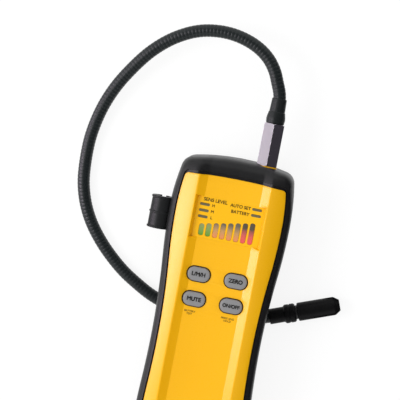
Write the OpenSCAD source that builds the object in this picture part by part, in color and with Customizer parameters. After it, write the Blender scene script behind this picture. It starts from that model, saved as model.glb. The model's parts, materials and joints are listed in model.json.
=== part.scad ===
// Refrigerant leak detector: booted case, keys, display and gooseneck probe.
// Millimetres, +Z up out of the face, +Y towards the probe end.
// The origin is on the bench, at the middle of the boot's butt foot.
// Inside the modules y is measured from the middle of the case; placed() moves
// the case's middle to its place in the frame.

/* [Node] */
// Which node to build

/* [Case] */
// Length of the case in its boot, without the crown of its ends
case_length = 197.5; // [190:0.5:225]
// Width over the boot at the head, the widest place
head_width = 80; // [76:0.5:88]
// Width over the boot at the grip, the narrowest place
grip_width = 72; // [68:0.5:74]
// Width over the boot near the butt end
butt_width = 75.5; // [74.5:0.5:84]
// Depth from the boot's back to the crest of the rails
case_depth = 34; // [33:0.5:42]
// Radius of the case's corners over the boot
corner_radius = 8.5; // [8:0.5:11]
// Radius of the crowned ends
end_radius = 150; // [120:5:200]
// How far the middle of a crowned end stands out
end_crown = 0.75; // [0.5:0.05:1]
// Thickness of the case wall
wall = 2.2; // [1.8:0.1:2.6]

/* [Boot] */
// Thickness of the boot's side wall
boot_wall = 2.8; // [2.4:0.1:3.2]
// Width of the boot's front lip along the sides
side_lip = 5; // [4.4:0.1:6]
// Width of the boot's bumper over the front at each end
end_lip = 11.5; // [11:0.5:14]
// Radius of the bumpers' edges over the front
lip_radius = 400; // [250:10:600]
// Corner radius of the opening in the boot's front
opening_radius = 2.8; // [2:0.2:6]
// Height of the boot's two feet, which clear the stowed gooseneck
foot_height = 9.2; // [9:0.1:12]

/* [Rails] */
// Width of the flat channel between the rails
channel_width = 36; // [35:0.5:37]
// Distance between the crests of the two rails
rail_spacing = 48; // [47:0.5:50]
// Depth of the channel under the crests
channel_depth = 4; // [3:0.5:5]

/* [Display] */
// Width of the display window
window_width = 46.2; // [45:0.2:47]
// Height of the display window
window_height = 27.5; // [26.5:0.5:29]
// Distance from the case's top end to the display window's middle
window_drop = 39.7; // [38:0.1:42]
// Distance between neighbouring bars of the graph
bar_pitch = 4.6; // [4.4:0.1:4.8]
// Width of one bar
bar_width = 3.2; // [2.8:0.1:3.4]
// Height of the first bar
bar_first = 7.6; // [6:0.2:9]
// Height of the last bar
bar_last = 13.8; // [11:0.2:14]

/* [Keys] */
// Width of a key
key_width = 14.8; // [14:0.2:16.4]
// Height of a key
key_height = 9.3; // [9:0.1:10.4]
// Distance between the two columns of keys
key_column = 24.6; // [24:0.2:25.4]
// Distance between the two rows of keys
key_row = 16.5; // [16:0.5:18]
// Travel of a key
key_travel = 1; // [0.6:0.1:1]

/* [Probe] */
// Size across the flats of the hexagonal base
hex_flats = 13; // [12:0.1:14]
// Length of the hexagonal base
hex_length = 28; // [24:0.2:32]
// Place of the probe right of the case's centre line
probe_x = 17.3; // [16.5:0.1:18]
// Diameter of the gooseneck over its ridges
neck_diameter = 8.4; // [8:0.1:8.6]
// Distance between the gooseneck's ridges
ridge_pitch = 2.7; // [2.5:0.1:4]

/* [Tip] */
// Largest diameter of the sensor tip
tip_diameter = 12.4; // [12:0.1:13]
// Length of the sensor tip's cap
tip_length = 28.5; // [26:0.5:34]

/* [Clip] */
// Length of the gooseneck clip
clip_length = 21.5; // [18:0.5:24]
// Distance from the case's top end to the clip's middle
clip_drop = 43; // [40:0.5:48]

/* [Hidden] */
$fn = 48;
fit = 0.1;

// Heights
back_z = foot_height;
boot_lip = 2;
case_back = back_z + boot_lip;
panel_z = back_z + 0.6;
floor_z = case_back + 1.6;
crest_z = back_z + case_depth;
channel_z = crest_z - channel_depth;
under_z = channel_z - wall;
board_top = channel_z - 7;
board_t = 1.6;
board_z = board_top - board_t;
parting_z = back_z + 16;
probe_z = back_z + 14.5;

// Places along the case
half = case_length / 2;
head_y = half - 37.5;
grip_y = -20.75;
butt_y = -half + 18;
foot_land = half - 16;
foot_ramp = 14;
foot_mid = half - 10.5;
pad_proud = 0.8;
pad_depth = 0.6;
pad_size = [44, 7];
window_end = half - 32;
window_y = half - window_drop;
key_y = half - 85.1;
clip_y = half - clip_drop;
boss_r = 7.1;
boss_top = half - 0.1;

// Case outline
proud = 0.8;
rebate = 1;
hw = head_width / 2;
gw = grip_width / 2;
bw = butt_width / 2;

function mix(a, b, f) = a + (b - a) * f;
function clamp01(f) = min(1, max(0, f));
function smooth(f) = let (g = clamp01(f)) g * g * (3 - 2 * g);
function unit(v) = v / norm(v);
function dir(a, b) = atan2(b.y - a.y, b.x - a.x);

// Sum of the radii of two tangent arcs that step sideways by d over a length l
function arc_sum(d, l) = (d * d + l * l) / (2 * d);

// Point where a circle about a meets a circle about b, on the given side
function meet(a, ra, b, rb, side) =
    let (d = norm(b - a), l = (ra * ra - rb * rb + d * d) / (2 * d),
         h = sqrt(max(0, ra * ra - l * l)), e = (b - a) / d)
    a + l * e + side * h * [-e.y, e.x];

s1 = arc_sum(hw - gw, head_y - grip_y);
s2 = arc_sum(bw - gw, grip_y - butt_y);
r_head = 0.4 * s1;
r_grip1 = s1 - r_head;
r_butt = 0.4 * s2;
r_grip2 = s2 - r_butt;
c_head = [hw - r_head, head_y];
r_top = 155;
c_top = [hw - r_top, head_y];
c_grip1 = [gw + r_grip1, grip_y];
c_grip2 = [gw + r_grip2, grip_y];
c_butt = [bw - r_butt, butt_y];

// Shares of an end's arc from its middle, close together where the rails run out
end_steps = [0, 0.3, 0.55, 0.61, 0.68, 0.75, 0.82, 0.9];
function even(n) = [for (i = [0:n - 1]) i / n];
function mirrored(steps) = concat([1], [for (i = [len(steps) - 1:-1:1]) steps[i]]);

// Outline of the case moved in by inset, with its ends moved in by trim more;
// corner and bow are the radii of its corners and ends before the inset
function outline(inset, trim = 0, corner = corner_radius, bow = end_radius, crown = end_crown) =
    let (end = half + crown - trim,
         ct = [0, end - bow],
         cb = [0, bow - end],
         kt_top = meet(c_top, r_top - corner, ct, bow - corner, 1),
         above = kt_top.y > head_y,
         kt = above ? kt_top : meet(c_head, r_head - corner, ct, bow - corner, 1),
         cu = above ? c_top : c_head,
         kb = meet(c_butt, r_butt - corner, cb, bow - corner, -1),
         a_up = dir(c_head, c_grip1), a_low = dir(c_butt, c_grip2),
         split = above ? 0 : mix(a_up, dir(cu, kt), 0.5),
         arcs = [[cb, bow, 1, -90, dir(cb, kb), end_steps],
                 [kb, corner, 1, dir(cb, kb), dir(c_butt, kb), even(6)],
                 [c_butt, r_butt, 1, dir(c_butt, kb), a_low, even(6)],
                 [c_grip2, r_grip2, -1, 180 + a_low, 180, even(4)],
                 [c_grip1, r_grip1, -1, 180, 180 + a_up, even(5)],
                 [c_head, r_head, 1, a_up, split, even(5)],
                 [cu, above ? r_top : r_head, 1, split, dir(cu, kt), even(5)],
                 [kt, corner, 1, dir(cu, kt), dir(ct, kt), even(6)],
                 [ct, bow, 1, 90, dir(ct, kt), mirrored(end_steps)]],
         right = [for (a = arcs) for (f = a[5])
                  let (w = mix(a[3], a[4], f), r = a[1] - a[2] * inset)
                  a[0] + r * [cos(w), sin(w)]],
         top = [0, end - inset])
    concat([[0, right[0].y]], [for (i = [1:len(right) - 1]) right[i]], [top],
           [for (i = [len(right) - 1:-1:1]) [-right[i].x, right[i].y]]);

// Outline at a share of the way in under the boot's front lip
function lip_line(f, inset = 0) =
    outline(f * side_lip + inset, f * (end_lip - side_lip), mix(corner_radius, opening_radius + side_lip, f),
            mix(end_radius, lip_radius, f), mix(end_crown, 0, f));

// The lower of two heights, rounded over where they meet
function soft_min(a, b, r) = min(a, b) - pow(max(0, r - abs(a - b)), 2) / (4 * r);

// Height of the front face across the case: channel, straight rail slope, soft crest, fall to the lip
crest_soft = 0.7;
function front(x) =
    let (a = abs(x), c = channel_width / 2, k = rail_spacing / 2, d = a - k)
    a <= c ? channel_z
    : soft_min(channel_z + channel_depth * (a - c) / (0.9 * (k - c)), crest_z - 0.3 * d - 0.0145 * d * d,
               crest_soft);

function front_line(d) =
    let (c = channel_width / 2, k = rail_spacing / 2,
         xs = concat([0, c], [for (i = [0:6]) k - 1.2 + i * 0.25], [for (i = [1:10]) k + i * 2.4]))
    concat([for (i = [len(xs) - 1:-1:1]) [-xs[i], front(xs[i]) + d]],
           [for (x = xs) [x, front(x) + d]]);

// Height of the boot's back: feet at both ends, lifted between them
function back(y) = mix(pad_proud, foot_height, smooth((foot_land - abs(y)) / foot_ramp));

module placed() translate([0, foot_mid, 0]) children();

// Prism along z of an outline
module slab(points, z0, z1)
    translate([0, 0, z0]) linear_extrude(z1 - z0) polygon(points);

// Everything under the front face, lowered by d
module under_front(d)
    translate([0, half + 10, 0]) rotate([90, 0, 0])
        linear_extrude(case_length + 20)
            polygon(concat([[-rail_spacing, 0]], front_line(-d),
                           [[rail_spacing, 0]]));

module box(x0, x1, y0, y1, z0, z1)
    translate([x0, y0, z0]) cube([x1 - x0, y1 - y0, z1 - z0]);

module rod(p, r, z0, z1) translate([p.x, p.y, z0]) cylinder(r = r, h = z1 - z0);

// Closed solid through a stack of rings of points
module skin(rings) {
    n = len(rings[0]);
    m = len(rings);
    polyhedron(points = [for (r = rings) each r],
        faces = concat([[for (i = [0:n - 1]) i]],
            [for (j = [0:m - 2]) for (i = [0:n - 1]) each
                let (a = j * n + i, b = j * n + (i + 1) % n)
                [[a, a + n, b + n], [a, b + n, b]]],
            [[for (i = [n - 1:-1:0]) (m - 1) * n + i]]));
}

// Ring-shaped solid: every station's section joined to the next one's
module loop_skin(sections) {
    m = len(sections[0]);
    n = len(sections);
    polyhedron(points = [for (s = sections) each s],
        faces = [for (j = [0:n - 1]) for (i = [0:m - 1]) each
            let (a = j * m + i, b = j * m + (i + 1) % m,
                 c = ((j + 1) % n) * m + (i + 1) % m, d = ((j + 1) % n) * m + i)
            [[a, b, c], [a, c, d]]]);
}

function rounded(w, h, r, n = 6) =
    [for (q = [0:3]) for (i = [0:n])
        let (a = q * 90 + i * 90 / n, s = [[1, 1], [-1, 1], [-1, -1], [1, -1]][q])
        [s.x * (w / 2 - r) + r * cos(a), s.y * (h / 2 - r) + r * sin(a)]];

function lift(points, z) = [for (p = points) [p.x, p.y, z]];

// Smooth line through hand-placed points, then stations along its length
function curve(p, i, t) =
    let (n = len(p), a = p[max(0, i - 1)], b = p[i], c = p[i + 1],
         d = p[min(n - 1, i + 2)])
    0.5 * (2 * b + (c - a) * t + (2 * a - 5 * b + 4 * c - d) * t * t
           + (3 * b - a - 3 * c + d) * t * t * t);
function dense(p, n = 10) =
    concat([for (i = [0:len(p) - 2]) for (j = [0:n - 1]) curve(p, i, j / n)],
           [p[len(p) - 1]]);
function lengths(q) =
    [for (i = 0, s = 0; i < len(q);
          s = s + (i + 1 < len(q) ? norm(q[i + 1] - q[i]) : 0), i = i + 1) s];

// Tube along a smooth line; stations are [distance, radius] pairs
module tube(points, stations, sides) {
    q = dense(points);
    s = lengths(q);
    t = [for (k = [0:2]) [for (i = [0:len(q) - 1]) [s[i], q[i][k]]]];
    function at(d) = [for (k = [0:2]) lookup(d, t[k])];
    skin([for (st = stations)
        let (p = at(st[0]), e = unit(at(st[0] + 0.8) - at(st[0] - 0.8)),
             side = unit(cross([0, 0, 1], e)), up = cross(e, side))
        [for (i = [0:sides - 1]) p + st[1] * (cos(i * 360 / sides) * side
                                              + sin(i * 360 / sides) * up)]]);
}

// Turned piece about the Y axis from a list of [radius, y] points
module turned(points) rotate([-90, 0, 0]) rotate_extrude() polygon(points);

// Case

module boss_form(r, y0, y1)
    translate([probe_x, y0, probe_z]) rotate([-90, 0, 0]) cylinder(r = r, h = y1 - y0);

// Outside of the case: stepped and rebated where the boot laps it
step_share = 0.62;
step_z = channel_z - 9;
shelf_gap = 0.4;
panel_inset = 9;
panel_corner = 13;
module case_form() {
    slab(outline(boot_wall + fit), case_back + fit, step_z - fit);
    intersection() {
        slab(lip_line(step_share, fit), case_back + fit, channel_z - rebate - fit);
        under_front(rebate + shelf_gap);
    }
    intersection() {
        slab(lip_line(1, fit), case_back + fit, crest_z + 1);
        under_front(0);
    }
    slab(outline(panel_inset + fit, panel_trim, panel_corner), panel_z, case_back + 1);
    boss_form(boss_r, half - 12, boss_top);
}

panel_trim = half - window_end - panel_inset;

// Hollow inside of the case: lower under the boot's end bumpers
module case_hollow() {
    intersection() {
        union() {
            slab(outline(boot_wall + wall), floor_z, step_z - 1.6);
            slab(lip_line(step_share, wall), floor_z, channel_z - rebate - 1.4);
            slab(lip_line(1, 1.7), floor_z, crest_z);
        }
        under_front(wall);
    }
}

// Room for the moulded posts inside the front half
module post_room() {
    intersection() {
        union() {
            slab(outline(boot_wall + 0.6), parting_z, step_z - 0.6);
            slab(lip_line(step_share, 0.7), parting_z, channel_z - rebate - 0.5);
            slab(lip_line(1, 0.7), parting_z, crest_z);
        }
        under_front(rebate + 0.4);
    }
}

case_screw_at = [[26.5, half - 24], [-26.5, half - 24], [21, -half + 12], [-21, -half + 12]];
mat_w = key_column + key_width + 1.6;
mat_h = key_row + key_height + 3.4;
board_w = 45;
board_end = half - 13;
board_tail = 14.3;
board_low = key_y - mat_h / 2 - board_tail;
board_l = board_end - board_low;
board_y = (board_end + board_low) / 2;
board_screw_at = [for (s = [1, -1]) for (y = [half - 24, board_low + 5]) [s * (board_w / 2 - 4), y]];

function key_at(i, j) = [i * key_column / 2, key_y + j * key_row / 2];
keys_at = [key_at(-1, 1), key_at(1, 1), key_at(-1, -1), key_at(1, -1)];
key_gap = 0.4;

window_low = window_y - window_height / 2;
overlay_t = 0.5;
window_floor = channel_z - overlay_t;
lens_top = window_floor + overlay_t;

function bar_x(i) = (i - 3.5) * bar_pitch;
function bar_h(i) = mix(bar_first, bar_last, i / 7);
bar_y = window_low + 2;
indicators = [[-16.7, 8.4], [-16.7, 4.4], [-16.7, 0.4], [16.9, 11.1], [16.9, 7.2]];
indicator_size = [6.3, 1.6];

module bar_2d(i, grow)
    translate([bar_x(i), bar_y + bar_h(i) / 2])
        polygon(rounded(bar_width + 2 * grow, bar_h(i) + 2 * grow, bar_width / 2 - 0.3 + grow, 4));
module indicator_2d(i, grow)
    translate([indicators[i].x, window_y + indicators[i].y])
        polygon(rounded(indicator_size.x + 2 * grow, indicator_size.y + 2 * grow,
                        indicator_size.y / 2 - 0.1 + grow, 4));
module windows_2d(grow) {
    for (i = [0:7]) bar_2d(i, grow);
    for (i = [0:4]) indicator_2d(i, grow);
}

module front_shell() color("gold") placed() {
    difference() {
        union() {
            difference() {
                intersection() {
                    case_form();
                    slab([[-60, -150], [60, -150], [60, 150], [-60, 150]], parting_z, 90);
                }
                case_hollow();
            }
            intersection() {
                union() {
                    for (p = board_screw_at) rod(p, 2.6, board_top, crest_z);
                    for (p = case_screw_at) rod(p, 3.4, parting_z, crest_z);
                    boss_form(boss_r, half - 12, half - 2);
                }
                post_room();
            }
        }
        // Display window with drafted walls
        hull() {
            translate([0, window_y, window_floor]) linear_extrude(0.01)
                square([window_width - 3, window_height - 1.2], center = true);
            translate([0, window_y, crest_z + 1]) linear_extrude(0.01)
                square([window_width + 1.6, window_height + 1.8], center = true);
        }
        translate([0, 0, under_z - 1]) linear_extrude(4) windows_2d(0.1);
        // Key wells and key holes
        for (p = keys_at) translate([p.x, p.y, 0]) {
            slab(rounded(key_width + 1.6, key_height + 1.6, key_height / 2 + 0.6), channel_z, crest_z + 1);
            slab(rounded(key_width + 2 * key_gap, key_height + 2 * key_gap,
                         key_height / 2 - 0.2 + key_gap), under_z - 1, crest_z);
        }
        for (p = board_screw_at) rod(p, 1.05, board_top - 1, board_top + 4.5);
        for (p = case_screw_at) rod(p, 1.3, parting_z - 1, parting_z + 8);
        boss_form(5.1, half - 20, half + 2);
    }
}

// Battery compartment in the rear half
cell_r = 7.25;
cell_l = 50.5;
cell_y0 = -half + 36.5;
cell_z = floor_z + 0.2 + cell_r;
bay_x = 3 * cell_r + 0.6;
bay_y0 = cell_y0 - 2.6;
bay_y1 = cell_y0 + cell_l + 2.6;
bay_top = cell_z + cell_r + 0.4;
door_y0 = bay_y0 + 1.4;
door_y1 = bay_y1 + 7.6;
door_x = bay_x + 1;
door_t = 2.6;
door_screw_at = [0, bay_y1 + 4.2];

pump_at = [-14, half - 72];
pump_z = floor_z + 0.4 + 7;
motor_r = 6;

module rear_shell() color("gold") placed() {
    difference() {
        union() {
            difference() {
                intersection() {
                    case_form();
                    slab([[-60, -150], [60, -150], [60, 150], [-60, 150]], 0, parting_z);
                }
                case_hollow();
            }
            box(-bay_x - 1.5, bay_x + 1.5, bay_y0 - 1.5, bay_y1 + 1.5, floor_z - 1, bay_top + 1.2);
            intersection() {
                union() {
                    for (p = case_screw_at) rod(p, 3.4, case_back + 0.5, parting_z);
                    boss_form(boss_r, half - 12, half - 2);
                    rod(door_screw_at, 3, floor_z - 0.8, floor_z + 8);
                }
                slab(outline(boot_wall + 0.6), case_back + 0.4, parting_z);
            }
            // Pump cradle
            for (y = [pump_at.y - 9, pump_at.y + 3])
                box(pump_at.x - 8, pump_at.x + 8, y - 1, y + 1, floor_z - 0.5, pump_z);
            // Ledges under the pump head
            box(pump_at.x - 7, pump_at.x + 7, pump_at.y + 12, pump_at.y + 26, floor_z - 0.5, pump_z - 7);
        }
        box(-bay_x, bay_x, bay_y0, bay_y1, panel_z - 1, bay_top);
        box(-door_x - fit, door_x + fit, door_y0 - fit, door_y1 + fit, panel_z - 1, panel_z + door_t);
        // Slot for the door's tongue
        box(-14.1, 14.1, bay_y0 - 1.6, bay_y0 + 1, floor_z - 0.1, floor_z + 1.6);
        rod(door_screw_at, 1.3, panel_z, floor_z + 7);
        for (p = case_screw_at) {
            rod(p, 1.6, 0, parting_z + 1);
            rod(p, 3, 0, case_back + 3.2);
        }
        translate([pump_at.x, pump_at.y - 12, pump_z]) rotate([-90, 0, 0])
            cylinder(r = motor_r + 1.1, h = 20);
        boss_form(5.1, half - 20, half + 2);
    }
}

module battery_door() color("gold") placed() {
    difference() {
        union() {
            box(-door_x, door_x, door_y0, door_y1, panel_z, panel_z + door_t - 0.05);
            // Tongue that hooks behind the case wall
            box(-13.9, 13.9, bay_y0 - 1.4, cell_y0 - 0.3, floor_z + 0.05, floor_z + 1.4);
            box(-13.9, 13.9, bay_y0 + 0.2, cell_y0 - 0.3, panel_z + 1, floor_z + 1.4);
        }
        // Finger grooves
        for (i = [0:4]) box(-11, 11, door_y0 + 8 + i * 2.4, door_y0 + 9.1 + i * 2.4, panel_z - 1, panel_z + 0.5);
        rod(door_screw_at, 1.6, 0, panel_z + 10);
        rod(door_screw_at, 3, 0, panel_z + 1.2);
    }
}

module screw(p, z, head_r, head_h, shank_r, length)
    translate([p.x, p.y, z]) difference() {
        union() {
            cylinder(r = head_r, h = head_h);
            cylinder(r = shank_r, h = length);
        }
        for (a = [0, 90]) rotate(a) translate([-head_r * 0.62, -0.3, -1]) cube([head_r * 1.24, 0.6, 1.6]);
    }

module door_screw() color("silver") placed()
    screw(door_screw_at, panel_z + 0.1, 2.7, 1.1, 1.2, 8.6);

module case_screws() color("silver") placed()
    for (p = case_screw_at) screw(p, case_back + 1.2, 2.7, 2, 1.2, parting_z - case_back + 5.8);

// Boot

boot_back = [0, 0.14, 0.38, 0.62, 1];
boot_round = [30, 60, 90];
boot_front = [0, 0.1, 0.3, 0.6, 1];
groove_share = 0.82;
groove_lines = [0.84, 1];
groove_depth = 0.7;
back_round = 5;

function lip_drop(f, y) =
    let (r = mix(5, 11, smooth((abs(y) - half + 30) / 22)), g = 1 - f)
    r * (1 - sqrt(1 - g * g));
function inner_front(x) = min(channel_z, front(x)) - rebate;

boot_lines = concat(
    [for (h = boot_back) outline(mix(panel_inset, back_round, h), mix(panel_trim, 0, h),
                                 mix(panel_corner, corner_radius, h))],
    [for (a = boot_round) outline(back_round * (1 - sin(a)))],
    [for (f = boot_front) lip_line(f * groove_share)],
    [for (f = groove_lines) lip_line(f)],
    [lip_line(0.8), lip_line(step_share), outline(boot_wall)]);

function boot_section(j) =
    let (l = [for (o = boot_lines) o[j]], nb = len(boot_back), nr = len(boot_round), nf = len(boot_front),
         ng = len(groove_lines), k = nb + nr + nf + ng, w = l[k + 2])
    concat([for (i = [0:nb - 1]) [l[i].x, l[i].y, back(l[i].y)]],
           [for (i = [0:nr - 1]) let (p = l[nb + i])
               [p.x, p.y, back(p.y) + back_round * (1 - cos(boot_round[i]))]],
           [for (i = [0:nf - 1]) let (p = l[nb + nr + i])
               [p.x, p.y, front(p.x) + proud - lip_drop(boot_front[i], p.y)]],
           [for (i = [0:ng - 1]) let (p = l[nb + nr + nf + i]) [p.x, p.y, front(p.x) - groove_depth]],
           [for (p = [l[k - 1], l[k], l[k + 1]]) [p.x, p.y, inner_front(p.x)]],
           [[l[k + 1].x, l[k + 1].y, step_z], [w.x, w.y, step_z],
            [w.x, w.y, case_back], [l[0].x, l[0].y, case_back]]);

clip_r = 7;
clip_rim = 0.5;
rim_width = 1.5;
clip_slot = 2.8;
clip_bore = neck_diameter / 2 + 0.05;
clip_x = -hw - clip_r + 1.4;
clip_z = back_z + 16;

// Bars let into the boot's feet, which stand on the bench
module pads(grow, z0)
    for (s = [-1, 1]) translate([0, s * foot_mid, z0])
        linear_extrude(pad_proud + pad_depth + grow - z0) square(pad_size + [2 * grow, 2 * grow], center = true);

module foot_pads() color("dimgray") placed() pads(0, 0);

module rubber_boot() color("dimgray") placed() {
    difference() {
        loop_skin([for (j = [0:len(boot_lines[0]) - 1]) boot_section(j)]);
        boss_form(boss_r + fit, half - 12, half + 5);
        pads(0.05, -1);
        // Slot and seat of the clip's foot
        box(-hw - 3, -hw + 5, clip_y - 8, clip_y + 8, clip_z - 2.6, clip_z + 2.6);
        box(-hw + boot_wall - 1.4, -hw + boot_wall + 3, clip_y - 9.6, clip_y + 9.6, clip_z - 5.1, clip_z + 5.1);
    }
}

module probe_clip() color("dimgray") placed() {
    difference() {
        union() {
            difference() {
                translate([clip_x, clip_y - clip_length / 2, clip_z]) turned(concat([[0, 0]],
                    [for (y = [0, (clip_length - rim_width) / 2, clip_length - rim_width])
                        each [[clip_r, y], [clip_r + clip_rim, y + 0.4], [clip_r + clip_rim, y + rim_width - 0.4],
                              [clip_r, y + rim_width]]],
                    [[0, clip_length]]));
                slab(outline(-0.08), back_z, crest_z);
            }
            box(clip_x, -hw + boot_wall - 0.2, clip_y - 7.9, clip_y + 7.9, clip_z - 2.5, clip_z + 2.5);
            box(-hw + boot_wall - 1.3, -hw + boot_wall - 0.1, clip_y - 9.5, clip_y + 9.5, clip_z - 5, clip_z + 5);
        }
        translate([clip_x, clip_y - 30, clip_z]) rotate([-90, 0, 0]) cylinder(r = clip_bore, h = 60);
        box(clip_x - clip_slot / 2, clip_x + clip_slot / 2, clip_y - 30, clip_y + 30, clip_z - 20, clip_z);
    }
}

// Display

module display_overlay() color("dimgray") placed()
    difference() {
        translate([0, window_y, window_floor]) linear_extrude(overlay_t)
            square([window_width - 3.06, window_height - 1.26], center = true);
        translate([0, 0, window_floor - 1]) linear_extrude(4) windows_2d(0.1);
    }

module lens_bar(i) {
    translate([0, 0, under_z - 1.2]) linear_extrude(lens_top - under_z + 1.2) bar_2d(i, 0);
    translate([0, 0, under_z - 1.2]) linear_extrude(1.1) bar_2d(i, 0.5);
}
module green_bar_lenses() color("green") placed() for (i = [0:1]) lens_bar(i);
module orange_bar_lenses() color("orange") placed() for (i = [2:5]) lens_bar(i);
module red_bar_lenses() color("red") placed() for (i = [6:7]) lens_bar(i);
module indicator_lenses() color("silver") placed() for (i = [0:4]) {
    translate([0, 0, under_z - 1.2]) linear_extrude(lens_top - under_z + 1.2) indicator_2d(i, 0);
    translate([0, 0, under_z - 1.2]) linear_extrude(1.1) indicator_2d(i, 0.5);
}

// Keys

key_top = channel_z + 1.7;
flange_top = under_z - 0.25;
flange_z = flange_top - 1;
stem_z = board_top + 1.45;

module key(i) placed() translate([keys_at[i].x, keys_at[i].y, 0]) {
    r = key_height / 2 - 0.2;
    skin([for (s = [[flange_top - 0.3, 0], [key_top - 0.9, 0], [key_top - 0.35, 0.3],
                    [key_top - 0.08, 1], [key_top, 2.2]])
        lift(rounded(key_width - 2 * s[1], key_height - 2 * s[1], r - s[1]), s[0])]);
    slab(rounded(key_width + 2.2, key_height + 2.2, r + 1.1), flange_z, flange_top);
    slab(rounded(key_width - 5, key_height - 3.4, key_height / 2 - 1.9), stem_z, flange_z + 0.2);
}
module key_level() color("gray") key(0);
module key_zero() color("gray") key(1);
module key_mute() color("gray") key(2);
module key_power() color("gray") key(3);

module keypad_mat() color("lightgray") placed() {
    difference() {
        union() {
            translate([0, key_y, 0]) slab(rounded(mat_w, mat_h, 3), board_top + 0.05, board_top + 0.85);
            for (p = keys_at) translate([p.x, p.y, 0])
                slab(rounded(key_width - 1, key_height + 0.6, 4), board_top + 0.5, flange_z - key_travel - 0.35);
        }
        for (p = keys_at) translate([p.x, p.y, 0])
            slab(rounded(key_width - 3.4, key_height - 1.8, 3.4), board_top - 1, board_top + 9);
    }
}

module key_contacts() color("black") placed()
    for (p = keys_at) for (s = [-1, 1])
        translate([p.x + s * 2.4, p.y, board_top]) linear_extrude(0.1)
            square([4, 4.6], center = true);

// Board

module main_board() color("green") placed()
    difference() {
        translate([0, board_y, 0]) slab(rounded(board_w, board_l, 2.5), board_z, board_top);
        for (p = board_screw_at) rod(p, 1.4, board_z - 1, board_top + 1);
    }

module indicator_leds() color("white") placed() {
    for (i = [0:7]) translate([bar_x(i) - 1, bar_y + bar_h(i) / 2 - 1.4, board_top]) cube([2, 2.8, 1.2]);
    for (p = indicators) translate([p.x - 1.4, window_y + p.y - 0.7, board_top]) cube([2.8, 1.4, 1.2]);
}

// Chips under the board: place, size and height of each
chips = [[[8, half - 66], [12, 12], 1.2], [[2, half - 46], [6, 9], 1.5], [[4, half - 82], [5, 6], 1.5]];
probe_plug_at = [2, half - 20];
capacitor_at = [15, half - 80];
module board_chips() color("black") placed() {
    for (c = chips) translate([c[0].x, c[0].y, board_z - c[2]]) linear_extrude(c[2]) square(c[1], center = true);
    translate([probe_plug_at.x, probe_plug_at.y, board_z - 5]) linear_extrude(5) square([10, 6], center = true);
    rod(capacitor_at, 4, board_z - 7, board_z);
}

buzzer_at = [14, half - 48];
module buzzer() color("black") placed() difference() {
    rod(buzzer_at, 6, board_z - 6.5, board_z);
    rod(buzzer_at, 1, board_z - 8, board_z - 3);
}

module board_screws() color("silver") placed()
    for (p = board_screw_at) screw(p, board_z - 1.4, 2.2, 1.4, 0.95, board_t + 5);

// Pump

module pump_motor() color("silver") placed()
    translate([pump_at.x, pump_at.y, pump_z]) turned([[0, -15], [1.6, -15], [1.6, -13.6], [5.4, -13.6],
        [motor_r, -13], [motor_r, 9.6], [5, 10], [0, 10]]);

module pump_head() color("black") placed() difference() {
    union() {
        box(pump_at.x - 7, pump_at.x + 7, pump_at.y + 10.05, pump_at.y + 27, pump_z - 6.9, pump_z + 7);
        box(pump_at.x - 6, pump_at.x + 6, pump_at.y + 12, pump_at.y + 25, pump_z + 6.9, pump_z + 9);
        for (s = [-1, 1]) translate([pump_at.x + s * 3.6, pump_at.y + 26.9, pump_z + 3]) rotate([-90, 0, 0])
            cylinder(r = 1.5, h = 6);
    }
    for (s = [-1, 1]) translate([pump_at.x + s * 3.6, pump_at.y + 24, pump_z + 3]) rotate([-90, 0, 0])
        cylinder(r = 0.8, h = 12);
}

module pump_cushions() color("dimgray") placed()
    for (y = [pump_at.y - 9, pump_at.y + 3]) translate([pump_at.x, y, pump_z])
        turned([[motor_r + 0.05, -2], [motor_r + 1.3, -2], [motor_r + 1.3, -1.1], [motor_r + 1.05, -1.1],
                [motor_r + 1.05, 1.1], [motor_r + 1.3, 1.1], [motor_r + 1.3, 2], [motor_r + 0.05, 2]]);

// Air tube from the probe's tail to the pump
tail_y = half - 17;
nozzle = [pump_at.x + 3.6, pump_at.y + 33, pump_z + 3];
tube_points = [[probe_x, tail_y + 2, probe_z], [probe_x, tail_y - 2, probe_z], [probe_x, tail_y - 5.5, probe_z],
    [probe_x - 1.5, tail_y - 9.5, probe_z], [probe_x - 7, tail_y - 12.8, probe_z],
    [mix(probe_x, nozzle.x, 0.5), tail_y - 14, mix(probe_z, nozzle.z, 0.5)],
    [nozzle.x + 6.5, tail_y - 15, nozzle.z], [nozzle.x + 1.4, tail_y - 18, nozzle.z],
    [nozzle.x, nozzle.y + 0.4, nozzle.z], nozzle + [0, -3.5, 0], nozzle + [0, -7, 0]];
tube_line = lengths(dense(tube_points));
tube_end = tube_line[len(tube_line) - 1] - 1.6;
module air_tube() color("lightgray") placed() difference() {
    tube(tube_points, [for (i = [0:30]) [mix(2.2, tube_end, i / 30), 2.4]], 10);
    translate(nozzle + [0, -8, 0]) rotate([-90, 0, 0]) cylinder(r = 1.55, h = 8.2);
    translate([probe_x, tail_y - 5.6, probe_z]) rotate([-90, 0, 0]) cylinder(r = 1.65, h = 10);
}

// Batteries

module battery_cells() color("dimgray") placed()
    for (i = [-1:1]) translate([i * (2 * cell_r + 0.1), cell_y0, cell_z]) {
        s = i == 0 ? 1 : 0;
        translate([0, s * cell_l, 0]) rotate([0, 0, s * 180])
            turned([[0, 0], [6.6, 0], [cell_r, 0.6], [cell_r, cell_l - 2.2], [6.4, cell_l - 1.6],
                    [2.6, cell_l - 1.4], [2.6, cell_l - 0.3], [2.2, cell_l], [0, cell_l]]);
    }

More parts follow.
